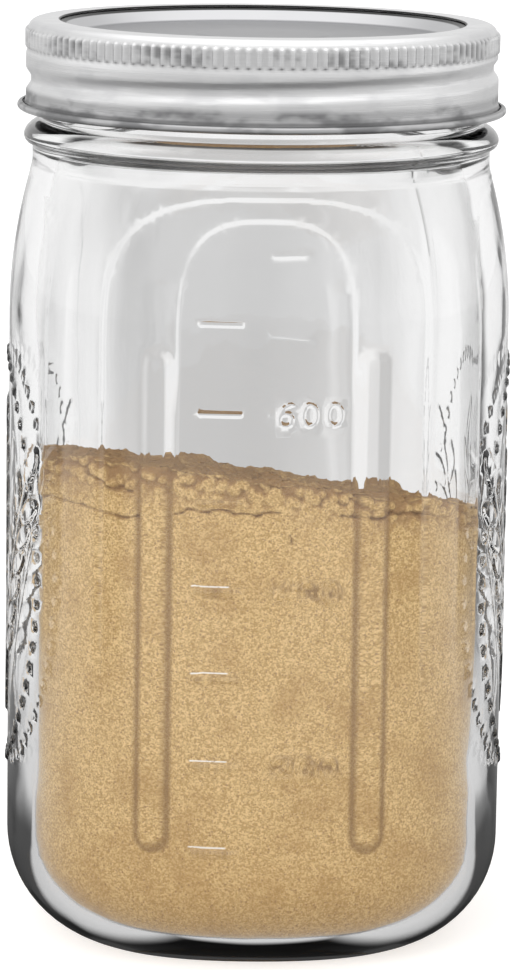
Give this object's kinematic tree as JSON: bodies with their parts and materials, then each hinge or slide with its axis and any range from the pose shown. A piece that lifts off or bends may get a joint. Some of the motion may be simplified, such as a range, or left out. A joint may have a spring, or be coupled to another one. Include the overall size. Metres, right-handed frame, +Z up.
{
  "type": "sourdough starter jar",
  "caption": "Rounded-square wide-mouth glass jar about half full of dry sourdough starter, closed by a flat lid and a knurled screw band.",
  "frame": {"origin": "centre of the jar's foot, on the surface that it stands on", "axes": "+Z up along the jar's axis, -Y towards the side with the raised scale that faces the camera, +X to its right"},
  "size_m": [0.0964, 0.096, 0.1748],
  "materials": {
    "clear_glass": "clear moulded soda-lime glass, smooth",
    "dry_starter": "dry granular flour and starter mix, matt",
    "lid_tinplate": "satin tinplate",
    "seal_rubber": "soft grey sealing compound",
    "band_tinplate": "satin tinplate, brushed round the band"
  },
  "bodies": {
    "jar": {"glass_jar": "clear_glass", "starter_fill": "dry_starter"},
    "lid": {"lid_disc": "lid_tinplate", "seal_ring": "seal_rubber"},
    "band": {"screw_band": "band_tinplate"}
  },
  "joints": [
    {"name": "lid_lift", "type": "slide", "parent": "jar", "child": "lid", "axis": [0, 0, 1], "range_m": [0, 0.0225]},
    {"name": "band_turn", "type": "hinge", "parent": "lid", "child": "band", "pos_m": [0, 0, 0.165], "axis": [0, 0, 1], "range_deg": [0, 1260]}
  ],
  "couplings": [
    {"joint": "lid_lift", "follows": "band_turn", "m_per_rad": 0.0010106}
  ]
}
